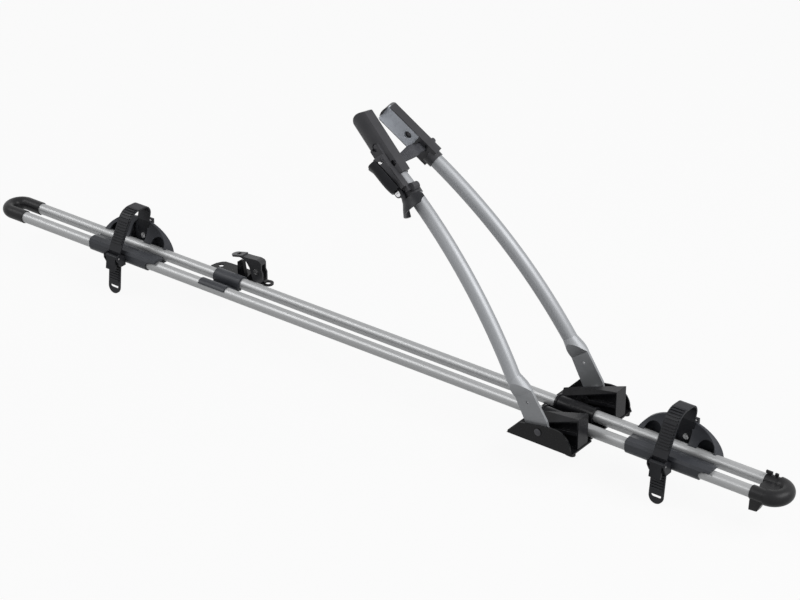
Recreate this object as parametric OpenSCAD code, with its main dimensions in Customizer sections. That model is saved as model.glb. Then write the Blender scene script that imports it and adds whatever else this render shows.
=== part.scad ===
// Roof carrier for one bicycle: twin rails, two wheel holders, a folding pair of frame arms.
// X runs along the rails towards the front, Y across them, Z up.
// The origin is the middle of the front base's underside, where it rests on the crossbar.

/* [Overall] */
// Length over both end caps
carrier_len = 1490; // [1350:5:1600]
// Middle of the front base to the front end
front_reach = 367; // [340:1:400]

/* [Rails] */
// Outside diameter of a rail tube
rail_d = 18; // [17:0.5:20]
// Wall of a rail tube
rail_wall = 1.6; // [1:0.1:2.5]
// Distance between the two rail axes
rail_gap = 38; // [36:0.5:42]
// Wall of the plastic sleeves that carry the rails
sleeve_wall = 2.5; // [2.2:0.1:2.8]
// Length of rail inside the rear end cap
cap_grip = 30; // [20:1:34]
// Length of rail inside the front end cap
front_grip = 22; // [18:1:30]

/* [Base] */
// Length of the base plate along the rails
plate_len = 112; // [104:1:124]
// Width of the base plate over its ears
plate_w = 156; // [154:1:158]
// Thickness of the base plate and its ears
plate_t = 2.5; // [2:0.5:3]
// Thickness of the rubber mat under the base plate
mat_t = 3; // [2.5:0.5:3.5]
// Height of the rounded ears above the seat
ear_h = 36; // [33:1:40]
// Distance between the crossbar bolt slots
bolt_span = 84; // [70:1:90]
// Diameter of the crossbar bolt holes
bolt_hole_d = 8.4; // [6.4:0.1:9]
// Height of the fold axis above the seat
pivot_z = 22.5; // [21.5:0.1:24]
// Diameter of the fold bolts
pivot_d = 8; // [6:0.5:10]
// Width of a casing
casing_w = 25; // [22:1:27]
// Height of a casing at its rear nose
nose_h = 33; // [31:0.5:35]
// Height of a casing at its front end
casing_h = 54; // [50:0.5:58]

/* [Arms] */
// Diameter of an arm tube
arm_d = 22; // [20:0.5:24]
// Wall of an arm tube
arm_wall = 2; // [1.5:0.1:3]
// Thickness of the flattened lower end
blade_t = 4; // [3:0.5:4.5]
// Width of the flattened lower end at the fold bolt
blade_w = 38; // [34:1:40]
// Width of the flattened end where it meets the round tube
blade_top_w = 33; // [28:1:36]
// Distance of a blade from the middle plane
blade_y = 71; // [70:0.1:71.5]
// Straight distance from fold axis to the start of the round tube
shank_len = 81; // [75:0.5:90]
// Steepness of that stretch
shank_elev = 55; // [50:0.1:60]
// Straight distance between the ends of the bowed tube
bow_span = 323; // [280:1:360]
// Radius of the bow
bow_r = 840; // [750:10:1200]
// Steepness of the bowed tube from end to end
bow_elev = 46.9; // [40:0.1:52]
// Lean of the arms towards each other
arm_lean = 5.7; // [5:0.1:6]

/* [Jaws] */
// Length of a jaw shell above the tube's end
jaw_len = 109; // [104:1:112]
// Width of a jaw shell
jaw_w = 32; // [30:1:33]
// Steepness of the jaws
jaw_elev = 38.6; // [34:0.1:42]
// Lean of the jaws towards each other
jaw_lean = 8.8; // [7:0.1:9.5]
// Thickness of the rubber pads
pad_t = 3; // [2:0.5:4]
// Length of the rubber pads
pad_len = 62; // [50:1:66]
// Width of the band that ties the jaws
band_w = 15; // [13:1:17]
// Thickness of the band
band_t = 4; // [3:0.5:4.5]

/* [Clamp] */
// Length of the clamp lever below its pin
lever_len = 84; // [70:1:90]
// Radius of the lever shell at its waist
lever_r = 14.8; // [14.5:0.1:17]
// Radius of the flared grip
grip_r = 27; // [24:0.5:28]
// Wall of the lever shell
lever_wall = 2.6; // [2:0.1:3.5]
// Diameter of the lock cylinder
lock_d = 11; // [8:0.5:12]

/* [Wheel holders] */
// Length of a holder's dish along the rails
dish_len = 136; // [130:1:142]
// Height of the dish above the rail axes
dish_h = 42; // [38:1:46]
// Length of a holder's sleeve
holder_len = 121; // [110:1:130]
// Middle of the front holder, from the front end
front_holder_in = 194; // [170:1:210]
// Middle of the rear holder, from the rear end
rear_holder_in = 272; // [180:1:320]
// Width of the ratchet straps
strap_w = 24; // [20:1:26]
// Thickness of the strap's web
strap_t = 2.4; // [2:0.1:3]
// Distance between two strap teeth
tooth_pitch = 4.5; // [3.5:0.1:6]
// Radius of the strap's arch
arch_r = 26; // [24:0.5:28]
// Length of the strap's hanging tail
tail_len = 52; // [40:1:80]

/* [Rear foot] */
// Middle of the rear foot, from the rear end
foot_in = 469; // [440:1:620]
// Length of the rear foot's sleeves
foot_len = 52; // [50:1:56]
// Distance between the two eyelets
eyelet_span = 97; // [90:1:104]
// Diameter of the eyelets
eyelet_d = 9; // [8:0.5:10]
// Height of the cam lever over the plate
cam_h = 40.5; // [39:0.5:42]

/* [Hidden] */
$fn = 48;

slip = 0.06;        // radial play of a running fit
gap = 0.3;          // play between faces that pass each other
rail_r = rail_d / 2;
rail_y = rail_gap / 2;
sleeve_r = rail_r + sleeve_wall;
base_top = mat_t + plate_t;
rail_z = base_top + rail_r + 0.5;
rear_x = front_reach - carrier_len;
cap_tube_r = rail_r + 1.6;
front_cap_r = rail_r + 3;
loop_x = rear_x + rail_y + cap_tube_r;
bulb_x = front_reach - rail_y - front_cap_r;
rear_cap_x = loop_x + cap_grip;
front_cap_x = bulb_x - front_grip;
pivot_x = -2;
ear_y = plate_w / 2;
casing_in = rail_y + sleeve_r + 5.5;
casing_out = casing_in + casing_w;
front_holder_x = front_reach - front_holder_in;
rear_holder_x = rear_x + rear_holder_in;
foot_x = rear_x + foot_in;

black = [0.13, 0.13, 0.14];
charcoal = [0.24, 0.25, 0.28];
holder_blue = [0.26, 0.28, 0.33];
steel = [0.75, 0.77, 0.8];
alu = [0.8, 0.82, 0.85];

// Mirrors a near-side piece to the far side
module far_side() mirror([0, 1, 0]) children();
// Round bar along Y, from y0 to y1
module bar_y(d, y0, y1) translate([0, y0, 0]) rotate([-90, 0, 0]) cylinder(d = d, h = y1 - y0);
// Round bar along X, from x0 to x1
module bar_x(d, x0, x1) translate([x0, 0, 0]) rotate([0, 90, 0]) cylinder(d = d, h = x1 - x0);
// Solid with an XZ outline between y0 and y1
module slab_y(y0, y1) translate([0, y1, 0]) rotate([90, 0, 0]) linear_extrude(y1 - y0) children();
// Solid with a YZ outline between x0 and x1
module slab_x(x0, x1) translate([x0, 0, 0]) rotate([90, 0, 90]) linear_extrude(x1 - x0) children();

// Rails
module rail(y) color(steel) translate([0, y, rail_z]) difference() {
  bar_x(rail_d, loop_x + 2, bulb_x - 2);
  bar_x(rail_d - 2 * rail_wall, loop_x, bulb_x);
}
module rail_near() rail(-rail_y);
module rail_far() rail(rail_y);

// Half ring that joins the two legs of an end cap; bend = 1 closes to the front
module cap_bend(x, r, bend) translate([x, 0, rail_z]) rotate([0, 0, bend > 0 ? -90 : 90])
  rotate_extrude(angle = 180) translate([rail_y, 0]) circle(r = r);
module cap_legs(x0, x1, r) for (s = [-1, 1]) translate([0, s * rail_y, rail_z]) bar_x(2 * r, x0, x1);
module rear_end_cap() color(black) difference() {
  union() {
    cap_bend(loop_x, cap_tube_r, -1);
    cap_legs(loop_x, rear_cap_x, cap_tube_r);
  }
  cap_legs(loop_x + 2, rear_cap_x + 1, rail_r + slip);
}
module front_end_cap() color(black) difference() {
  union() {
    cap_bend(bulb_x, front_cap_r, 1);
    cap_legs(front_cap_x, bulb_x, rail_r + 1.4);
    // web that closes the loop, with a shallow dish in its top
    translate([front_cap_x + 8, -rail_y, rail_z - 5]) cube([bulb_x - front_cap_x - 8, rail_gap, 11]);
    translate([bulb_x, 0, rail_z - 5]) cylinder(r = rail_y, h = 11);
    // hook foot under the near leg
    translate([0, -rail_y - 6, 0]) slab_y(0, 12) polygon([[front_cap_x, rail_z - 4],
      [front_cap_x - 1, rail_z - 26], [front_cap_x + 12, rail_z - 25], [front_cap_x + 19, rail_z - 11],
      [front_cap_x + 26, rail_z - 4]]);
    // two small T tabs on the far leg
    for (t = [[2, 10], [15, 5]]) translate([front_cap_x + t[0], rail_y - 2, rail_z + rail_r - 0.6]) {
      cube([t[1] * 0.5, 3, 5]);
      translate([-t[1] * 0.25, 0, 4]) cube([t[1], 3, 4]);
    }
  }
  cap_legs(front_cap_x - 1, bulb_x - 2, rail_r + slip);
}

// Base
ear_round = 26;     // radius of an ear's front corner
ear_flat = 27;      // where that corner begins
module under(z) translate([-2 * plate_len, z - plate_len]) square([4 * plate_len, plate_len]);
module ear_outline() difference() {
  union() {
    polygon([[-plate_len / 2, mat_t], [22 - plate_len / 2, ear_h - 9], [18, ear_h], [ear_flat, ear_h],
      [plate_len / 2 - 3, ear_h - ear_round], [plate_len / 2, mat_t]]);
    translate([ear_flat, ear_h - ear_round]) circle(r = ear_round);
  }
  under(mat_t);
  translate([pivot_x, pivot_z]) circle(d = pivot_d + 2 * slip);
}
module base_plate() color(black) difference() {
  union() {
    translate([-plate_len / 2, -ear_y + plate_t, mat_t]) cube([plate_len, 2 * ear_y - 2 * plate_t, plate_t]);
    slab_y(-ear_y, -ear_y + plate_t) ear_outline();
    slab_y(ear_y - plate_t, ear_y) ear_outline();
  }
  // notch in the front edge, between the rails
  translate([plate_len / 2 - 9, -rail_y - 8, 0]) cube([10, rail_gap + 16, 2 * base_top]);
  bolt_places() cylinder(d = bolt_hole_d, h = 2 * base_top);
  casing_screw_places() cylinder(d = screw_d + 2 * slip, h = 2 * base_top);
}
module bolt_places() for (s = [-1, 1]) translate([s * bolt_span / 2, 0, -1]) children();
// Rubber mat under the plate, with a rounded lug under each front corner
mat_len = 100;
mat_w = 120;
screw_head_d = 9;
module mat_outline() {
  translate([-mat_len / 2, -mat_w / 2]) square([mat_len, mat_w]);
  for (s = [-1, 1]) {
    translate([mat_len / 2 - 8, s * 64 - 7]) square([7, 14]);
    for (x = [46, 52]) translate([x, s * 70]) circle(r = 5);
    translate([46, s * 70 - 5]) square([6, 10]);
  }
}
module base_foot_pads() color(black) difference() {
  linear_extrude(mat_t) mat_outline();
  bolt_places() cylinder(d = bolt_hole_d, h = 2 * mat_t);
  casing_screw_places() cylinder(d = screw_head_d + 1, h = 2 * mat_t);
}

base_sleeve_len = 66;
module base_sleeve(y) color(black) difference() {
  union() {
    translate([0, y, rail_z]) bar_x(2 * sleeve_r, -base_sleeve_len / 2, base_sleeve_len / 2);
    for (x = [-base_sleeve_len / 2, base_sleeve_len / 2 - 3])
      translate([0, y, rail_z]) bar_x(2 * sleeve_r + 3, x, x + 3);
    translate([4 - base_sleeve_len / 2, y - 9, base_top]) cube([base_sleeve_len - 8, 18, 6]);
  }
  translate([0, y, rail_z]) bar_x(rail_d + 2 * slip, -base_sleeve_len, base_sleeve_len);
  translate([0, y, 0]) slab_x(-base_sleeve_len, base_sleeve_len) {
    under(base_top);
    // open below, where the rail lies close over the plate
    translate([-4, base_top - 1]) square([8, 4]);
  }
}
module base_sleeve_near() base_sleeve(-rail_y);
module base_sleeve_far() base_sleeve(rail_y);

// Casings beside the sleeves: a rounded nose at the rear, faces sunk between fanned ribs
casing_x0 = -40;
casing_x1 = 55;
nose_r = 9;
nose_x = casing_x0 + nose_r;
sunk = 6;           // depth of the pockets between the ribs
screw_d = 5;
ridge = [-5, nose_h - 4];
ridge_a = 21.8;     // slope of the upper ridge
module casing_screw_places() for (s = [-1, 1], x = [-14, 38]) translate([x, s * 48.5, -1]) children();
module casing_side() {
  translate([nose_x, nose_h - nose_r]) circle(r = nose_r);
  polygon([[16 + casing_x0, base_top], [3 + casing_x0, nose_h - nose_r - 6.7], [nose_x, nose_h - nose_r],
    [6 + casing_x0, nose_h - 0.5], [28 + casing_x0, nose_h + 4], [casing_x1, casing_h], [casing_x1, base_top]]);
}
module pocket_high() polygon([[-8, nose_h - 7], [casing_x1 - 2, casing_h - 4.5], [casing_x1 - 2, casing_h - 22],
  [16, nose_h - 6.5], [-20, nose_h - 13.5]]);
module pocket_low() polygon([[-25, nose_h - 19], [casing_x1 - 2, casing_h - 27],
  [casing_x1 - 2, base_top + 1.5], [-15, base_top + 1.5]]);
module casing() color(black) difference() {
  slab_y(-casing_out, -casing_in) casing_side();
  // the outer side tapers in towards the nose
  translate([0, 0, -1]) linear_extrude(2 * casing_h) polygon([[casing_x0 - 5, 19.7 - casing_out],
    [-8, -casing_out], [-8, -casing_out - 1], [casing_x0 - 5, -casing_out - 1]]);
  for (side = [[-casing_out, 29], [-casing_in, -55]]) {
    // bevels that rise from the upper ridges to a crest near the inner side
    translate([ridge[0], side[0], ridge[1]]) rotate([side[1], -ridge_a, 0])
      translate([-100, -100, 0]) cube([200, 200, 60]);
    translate([0, side[0], 0]) slab_y(-sunk, sunk) difference() {
      union() { pocket_high(); pocket_low(); }
      translate([pivot_x, pivot_z]) circle(d = 19);
    }
  }
  translate([pivot_x, 0, pivot_z]) bar_y(pivot_d + 2 * slip, -casing_out - 1, -casing_in + 1);
  casing_screw_places() cylinder(d = screw_d + 2 * slip, h = 16);
}
module casing_near() casing();
module casing_far() far_side() casing();

// Fold bolts: low domed head outside the ear
module fold_bolt() color(steel) translate([pivot_x, 0, pivot_z]) {
  bar_y(pivot_d, -ear_y - 1, -casing_in);
  bar_y(11, -ear_y - 1.2, -ear_y);
  translate([0, -ear_y - 2.6, 0]) rotate([-90, 0, 0]) cylinder(d1 = 6, d2 = 11, h = 1.4);
}
module fold_bolt_near() fold_bolt();
module fold_bolt_far() far_side() fold_bolt();
module fold_nuts() color(steel) for (s = [0, 1]) mirror([0, s, 0]) translate([pivot_x, 0, pivot_z])
  difference() {
    translate([0, -blade_y + blade_t / 2 + 0.45, 0]) bar_y(13, 0, casing_gap_w - 0.5);
    translate([0, -blade_y, 0]) bar_y(pivot_d + 2 * slip, 0, 12);
  }
casing_gap_w = blade_y - blade_t / 2 - casing_out;
// Screws from below through the plate into the casings, their heads inside the mat
module casing_screws() color(steel) casing_screw_places() {
  translate([0, 0, 2]) cylinder(d = screw_head_d, h = mat_t - 1);
  translate([0, 0, mat_t]) cylinder(d = screw_d, h = 12);
}

// Arms, drawn for the near side
bow_half = asin(bow_span / 2 / bow_r);
tube_x = pivot_x - shank_len * cos(shank_elev);
tube_z = pivot_z + shank_len * sin(shank_elev);
tube_y = -blade_y - 0.8;
top_x = tube_x - bow_span * cos(arm_lean) * cos(bow_elev);
top_z = tube_z + bow_span * cos(arm_lean) * sin(bow_elev);
top_y = tube_y + bow_span * sin(arm_lean);
end_len = 15;
blade_flat = 58;
// Moves to a point with X turned up and back by elev, then leaned inwards
module lean_frame(x, y, z, elev, lean) translate([x, y, z]) rotate([0, elev - 180, 0])
  rotate([0, 0, lean]) children();
// Rotates into the plane of an arm's lower end, with X up along it
module shank_frame() translate([pivot_x, 0, pivot_z]) rotate([0, shank_elev - 180, 0]) children();
// Round bar along the bow, run on by more past its upper end
module bow(d, more) lean_frame(tube_x, tube_y, tube_z, bow_elev, arm_lean)
  translate([bow_span / 2, 0, bow_r * cos(bow_half)]) rotate([90, 0, 0])
    rotate([0, 0, -90 - bow_half]) rotate_extrude(angle = 2 * bow_half + more / bow_r * 180 / PI, $fn = 96)
      translate([bow_r, 0]) circle(d = d);
// Moves to the upper end of the bow, with X along the tube
module tube_top() lean_frame(tube_x, tube_y, tube_z, bow_elev, arm_lean)
  translate([bow_span, 0, 0]) rotate([0, -bow_half, 0]) children();
// Where the tube is pressed flat: a cone cut by two wedges
press_in = 5;
press_end = shank_len + press_in;
press_w = arm_d / 2 + 1;
blade_shift = 3.5;  // the pressed end stands forward of the tube
blade_end = min(blade_w / 2, pivot_z - base_top - 0.6);     // the round end turns clear of the plate
module blade_plan() polygon([[0, -blade_end], [0, blade_end], [8, blade_w / 2],
  [blade_flat, blade_top_w / 2 - blade_shift], [blade_flat, -blade_top_w / 2 - blade_shift],
  [8, -blade_w / 2]]);
module pressed() shank_frame() intersection() {
  translate([blade_flat - 2, -blade_y, -blade_shift])
    rotate([0, 90 - atan2(blade_shift, press_end - blade_flat + 2), 0])
    cylinder(r1 = blade_top_w / 2 + 0.5, r2 = arm_d / 2 - 0.2, h = press_end - blade_flat + 2);
  translate([0, 0, -blade_w]) linear_extrude(2 * blade_w) polygon([[blade_flat - 1, -blade_y - blade_t / 2],
    [blade_flat - 1, -blade_y + blade_t / 2], [press_end - 8, press_w - blade_y],
    [press_end + 1, press_w - blade_y], [press_end + 1, -press_w - blade_y],
    [press_end - 8, -press_w - blade_y]]);
}
module arm() color(alu) difference() {
  union() {
    // blade round the fold bolt
    shank_frame() slab_y(-blade_y - blade_t / 2, -blade_y + blade_t / 2) union() {
      circle(r = blade_end);
      blade_plan();
    }
    pressed();
    bow(arm_d, end_len);
  }
  // the tube is hollow up to its pressed end
  bow(arm_d - 2 * arm_wall, end_len + 1);
  translate([pivot_x, 0, pivot_z]) bar_y(pivot_d + 0.9, -blade_y - 10, -blade_y + 10);
  // small hole where the blade begins
  shank_frame() translate([blade_flat - 14, 0, -3]) bar_y(4.5, -blade_y - 10, -blade_y + 10);
}
module arm_near() arm();
module arm_far() far_side() arm();

// Jaws, drawn for the near side: x along the jaw, y inwards, z down
jaw_extra = 10;     // the near shell reaches further up
jaw_back = 13.2;    // axis to the outside of a shell
jaw_face = 7;       // axis to the face that carries the pad
jaw_start = 10;
pad_end = jaw_len - 3;
bolt_s = 58;        // bolt behind the far pad, and behind the near one
bolt_s_near = 62;
pad_in = 5.5;       // depth of the seat that holds a pad inside its rim
pad_hole_d = 12;
cup_r = 36;         // hollow of the gripping face
jaw_bolt_d = 6;
edge_bolt = [27, -11];    // small bolt that pinches the collar: along the jaw, and down
edge_bolt_d = 5;
boss_s = [46, 66];   // raised boss round the near shell's bolt
module jaw_frame() lean_frame(top_x, top_y, top_z, jaw_elev, jaw_lean) children();
module band_frame() translate([top_x, 0, top_z]) rotate([0, jaw_elev - 180, 0])
  translate([jaw_mid_s, 0, -band_p]) children();
jaw_mid_s = 30;
band_p = 6;
jaw_bulge = 30;     // radius of a shell's outside
collar_r = arm_d / 2 + 1.7;
module jaw_section(grow) intersection() {
  translate([jaw_bulge - jaw_back, 0]) circle(r = jaw_bulge + grow);
  translate([-jaw_back - grow, -jaw_w / 2 - grow]) square([jaw_back + jaw_face + 2 * grow, jaw_w + 2 * grow]);
}
module jaw_cup(s0, s1, deep) translate([0, jaw_face - deep + cup_r, 0]) bar_x(2 * cup_r, s0, s1);
module jaw_outside(len, grow, collar = collar_near) {
  jaw_frame() intersection() {
    slab_x(jaw_start - grow, len + grow) jaw_section(grow);
    // upper end rounded off across its outer corner
    slab_y(-40, 40) union() {
      translate([0, -jaw_w]) square([len - 12, 2 * jaw_w]);
      translate([len - 26, 0]) circle(r = 26 + grow);
    }
  }
  tube_top() bar_x(2 * collar_r + 2 * grow, collar - grow, 17);
}
module jaw(len, s, collar, boss) color(charcoal) difference() {
  union() {
    jaw_outside(len, 0, collar);
    if (boss) jaw_frame() translate([0, 0, -9]) linear_extrude(20) polygon([[boss_s[0], -8],
      [boss_s[0], -jaw_back - 2.5], [boss_s[1] - 3, -jaw_back - 2.5], [boss_s[1], -8]]);
  }
  bow(arm_d + 2 * slip, end_len);
  jaw_frame() {
    // seat of the pad
    translate([pad_end - pad_len - gap, jaw_face - pad_in, -jaw_w / 2 + 1.5])
      cube([pad_len + 2 * gap, 10, jaw_w - 3]);
    translate([s, -30, 0]) bar_y(jaw_bolt_d + 2 * slip, 0, 60);
    translate([s, 0, 0]) bar_y(12, -jaw_back - 4, 3 - jaw_back);
    translate([edge_bolt[0], 0, edge_bolt[1]]) {
      bar_y(edge_bolt_d + 2 * slip, -30, 30);
      bar_y(9, -jaw_back - 1, 5 - jaw_back);
    }
  }
  // slot of the band
  band_frame() translate([-band_w / 2 - 0.6, -60, -band_t / 2 - 0.6]) cube([band_w + 1.2, 60, band_t + 1.2]);
}
collar_near = 9;    // where a collar begins, from the end of the bow
collar_far = 3;
module jaw_near() jaw(jaw_len + jaw_extra, bolt_s_near, collar_near, true);
module jaw_far() far_side() jaw(jaw_len, bolt_s, collar_far, false);
module pad(s) color([0.72, 0.74, 0.77]) jaw_frame() difference() {
  translate([pad_end - pad_len, jaw_face - pad_in, -jaw_w / 2 + 1.5 + slip])
    cube([pad_len, pad_in + 0.5, jaw_w - 3 - 2 * slip]);
  jaw_cup(0, jaw_len + 10, pad_in - pad_t);
  translate([s, 0, 0]) bar_y(pad_hole_d, -5, 20);
}
module pad_near() pad(bolt_s_near);
module pad_far() far_side() pad(bolt_s);
// Cap screws from outside: one behind the pad, a small one through the collar's edge
module jaw_bolts(s, proud) color(steel) jaw_frame() {
  translate([s, 0, 0]) {
    bar_y(jaw_bolt_d, 3 - jaw_back - proud, jaw_face - pad_in);
    bar_y(10, 3 - jaw_back - proud, 3 - jaw_back);
  }
  translate([edge_bolt[0], 0, edge_bolt[1]]) {
    bar_y(edge_bolt_d, 5 - jaw_back - proud, jaw_face - 1);
    bar_y(8, 5 - jaw_back - proud, 5 - jaw_back);
  }
}
module jaw_bolts_near() jaw_bolts(bolt_s_near, 2);
module jaw_bolts_far() far_side() jaw_bolts(bolt_s, 6);
// Band that ties the jaws and is drawn in by the lever
module link_band() color(charcoal) band_frame() translate([-band_w / 2, -38, -band_t / 2])
  cube([band_w, 76, band_t]);

// Clamp on the near arm: housing on the upper side, lever round the lower, pin and lock
lever_y = -5;       // axis of the lever's round shell
lever_z = -2;
pin_s = 38;
pin_y = -19;
pin_d = 5;
housing_out = -19.5;
split_z = 2;        // housing above, lever below
waist_s = -7;
grip_s = pin_s - lever_len;
ring_r = collar_r + 1;
ring_w = 11;
module clamp_ring(r, w) translate([-20.5 - w / 2, 1, 0]) bar_x(2 * r, 0, w);
rivet_s = 29.5;
rivet_up = -4;
module housing_plan() polygon([[pin_s + 6, split_z], [pin_s + 6, -8], [20, -10], [-12, -13], [-12, split_z - 7],
  [-6, split_z - 6], [26, split_z]]);
module clamp_housing() color(charcoal) difference() {
  union() {
    jaw_frame() {
      difference() {
        slab_y(housing_out, -9) housing_plan();
        translate([rivet_s, 0, rivet_up]) bar_y(5 + 2 * slip, -30, 0);
      }
      // knuckle of the lever's pin
      translate([pin_s, pin_y, -8]) cylinder(r = 5, h = 8 + split_z);
      // ring on the tube below the jaw, with its lug
      clamp_ring(ring_r, ring_w);
      translate([-17, 0, -15]) bar_y(12, -10, 2);
    }
    // tie from the ring to the housing
    jaw_frame() translate([-20, -16, -13]) cube([10, 12, 7]);
  }
  jaw_frame() translate([pin_s, pin_y, -20]) cylinder(d = pin_d + 2 * slip, h = 40);
  jaw_outside(jaw_len + jaw_extra, slip);
  bow(arm_d + 2 * slip, end_len);
}
module clamp_rivet() color(steel) jaw_frame() translate([rivet_s, 0, rivet_up]) {
  bar_y(5, housing_out, -jaw_back - slip);
  translate([0, housing_out - 1.4, 0]) bar_y(7, 0, 1.4);
}
// Half trumpet: radius against distance along the jaw's axis
flare_r = 27;       // radius of the shell at its upper end
flare_tilt = 4.5;   // tilt of the upper part away from the jaw
lever_upper = [[pin_s + 6 - waist_s, flare_r], [0, lever_r]];
lever_lower = [[waist_s + 1, lever_r], [waist_s - 14, lever_r + 0.4], [waist_s - 22, lever_r + 3],
  [grip_s + 8, grip_r - 4], [grip_s, grip_r]];
function inward(p, w) = [for (i = [len(p) - 1:-1:0]) [p[i][0], p[i][1] - w]];
function swap(p) = [for (q = p) [q[1], q[0]]];
module half_shell(p) rotate([0, 90, 0]) rotate([0, 0, 180])
  rotate_extrude(angle = 180) polygon(swap(concat(p, inward(p, lever_wall))));
module upper_axis() translate([waist_s, lever_y, lever_z]) rotate([0, -flare_tilt, -flare_tilt]) children();
lock_s = -12;
lock_z = 6;
lock_y = lever_y - sqrt(pow(lever_r, 2) - pow(lock_z - lever_z, 2));
module clamp_lever() color(black) difference() {
  lever_body();
  jaw_outside(jaw_len + jaw_extra, gap + 0.1);
  jaw_frame() clamp_ring(ring_r + gap, ring_w + 2 * gap);
}
module lever_body() jaw_frame() difference() {
  union() {
    // below the housing the shell wraps the outside fully, beside it only the lower side
    intersection() {
      translate([0, lever_y, lever_z]) half_shell(lever_lower);
      union() {
        translate([grip_s - 1, -60, -23]) cube([waist_s - 20 - grip_s, 60, 80]);
        translate([waist_s - 22, -60, split_z - 5]) cube([25, 60, 46]);
      }
    }
    intersection() {
      upper_axis() half_shell(lever_upper);
      translate([waist_s - 4, -60, split_z + 0.4]) cube([60, 60, 46]);
    }
    // knuckle and its web
    translate([pin_s, pin_y, split_z + 0.4]) cylinder(r = 5, h = 8);
    intersection() {
      translate([pin_s - 5, pin_y - 20, split_z + 0.4]) cube([8, 20, 8]);
      upper_axis() bar_x(2 * flare_r - 8, 0, 60);
    }
    // seat of the lock
    translate([lock_s, 0, lock_z]) bar_y(lock_d + 4, lock_y - 1, lock_y + 4);
  }
  translate([pin_s, pin_y, -20]) cylinder(d = pin_d + 2 * slip, h = 40);
  translate([lock_s, 0, lock_z]) bar_y(lock_d + 2 * slip, lock_y - 2, lock_y + 6);
}
module lever_pin() color(steel) jaw_frame() translate([pin_s, pin_y, -9]) cylinder(d = pin_d, h = 20);
module lock_cylinder() color(steel) jaw_frame() translate([lock_s, 0, lock_z]) difference() {
  bar_y(lock_d, lock_y - 1.6, lock_y + 4);
  translate([-0.8, lock_y - 2, -3]) cube([1.6, 2.4, 6]);
}

// Wheel holders, drawn about x = 0
dish_y0 = 3;
dish_y1 = 33;
dish_t = 3;
skirt_t = 3;
dish_r = 70;
web_z = -12;        // underside of the web below the rails, from the rail axes
skirt_z = -8;       // lower edge of the skirt
holder_in = -7;
holder_r = rail_r + 2.2;
holder_out = -rail_y - holder_r;
dish_x = -5;        // middle of the dish, from the middle of the sleeve
strap_x = 3.5;      // middle of the strap
roof_x = 78;        // front end of the roof over the near rail
chord = sqrt(pow(dish_y1 - dish_y0, 2) + pow(dish_h + 4, 2));
chord_tilt = atan2(dish_h + 4, dish_y1 - dish_y0);
dish_sag = sqrt(pow(dish_r, 2) - pow(chord / 2, 2));
dish_cy = (dish_y0 + dish_y1) / 2 - dish_sag * sin(chord_tilt);
dish_cz = (dish_h - 4) / 2 + dish_sag * cos(chord_tilt);
// Half ellipse over the base line
module half_moon(grow) polygon([for (a = [0:6:180])
  [dish_x + (dish_len / 2 + grow) * cos(a), -6 + (dish_h + 6 + grow) * sin(a)]]);
module windows() {
  for (s = [-1, 1]) translate([s * 43.5, 9]) intersection() {
    circle(r = 14);
    translate([-14, 0]) square([28, 16]);
  }
  translate([-16, 9]) square([32, 14]);
  translate([0, 23]) circle(r = 16);
}
module dish_arc(r0, r1, z0) intersection() {
  difference() {
    translate([dish_cy, dish_cz]) circle(r = r1, $fn = 96);
    translate([dish_cy, dish_cz]) circle(r = r0, $fn = 96);
  }
  translate([dish_y0, z0]) square([dish_y1 - dish_y0 + skirt_t, dish_h + 8 - z0]);
}
module tray_section() {
  // floor that turns up into the dish
  translate([holder_in - 2, -5]) square([dish_y0 - holder_in + 6, 3]);
  translate([dish_y0, web_z]) square([4, -web_z - 3]);
  translate([holder_in - 2, web_z]) square([dish_y1 - holder_in + 4, 3]);
}
module holder_sleeve_section() {
  translate([-rail_y, 0]) circle(r = holder_r);
  polygon([[holder_out, -2], [holder_out, 8], [holder_out + 3, 12.5], [1 - rail_y, 14], [holder_in, 10.5],
    [holder_in, -8]]);
}
// What the scoop takes from the front of the sleeve below its roof
module sleeve_scoop() {
  translate([roof_x - 7, -20]) square([30, 29]);
  translate([roof_x - 7, -3]) circle(r = 12);
  translate([roof_x - 19, -20]) square([40, 17]);
}
module holder() color(holder_blue) translate([0, 0, rail_z]) difference() {
  union() {
    difference() {
      slab_x(-holder_len / 2, roof_x) holder_sleeve_section();
      slab_y(-40, holder_in + 1) sleeve_scoop();
    }
    // floor and web
    slab_x(-holder_len / 2, holder_len / 2) tray_section();
    // dish and skirt inside a half-moon outline
    intersection() {
      union() {
        slab_x(-dish_len, dish_len) dish_arc(dish_r, dish_r + dish_t, -5);
        slab_x(-dish_len, dish_len) translate([dish_y1, web_z]) square([skirt_t, dish_h - web_z + 1]);
      }
      slab_y(-20, dish_y1 + 20) union() {
        half_moon(0);
        translate([-holder_len / 2, skirt_z]) square([holder_len - 2, -skirt_z]);
      }
    }
    // rim that closes dish and skirt along the half-moon
    intersection() {
      slab_y(dish_y1 - 14, dish_y1 + skirt_t) difference() { half_moon(0); half_moon(-3); }
      slab_x(-dish_len, dish_len) dish_back();
    }
    translate([-holder_len / 2, dish_y1 - 3, web_z]) cube([holder_len, skirt_t + 3, -web_z + skirt_z + 4]);
  }
  // windows through the dish
  slab_y(-8, dish_y1 - 0.2) translate([-2, 0]) windows();
  // bore of the near rail and the passage of the far rail
  translate([0, -rail_y, 0]) bar_x(rail_d + 2 * slip, -dish_len, dish_len);
  translate([0, rail_y, 0]) bar_x(rail_d + 2 * gap, -dish_len, dish_len);
  translate([strap_x, 0, rivet_z]) bar_y(rivet_d + 2 * slip, 0, dish_y1 + 10);
  // slot of the strap's back leg, through the rim
  translate([strap_x - strap_w / 2 - gap, leg_y - strap_t / 2 - 2 * gap, rivet_z - 10])
    cube([strap_w + 2 * gap, strap_t + 3 * gap, dish_h]);
}
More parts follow.
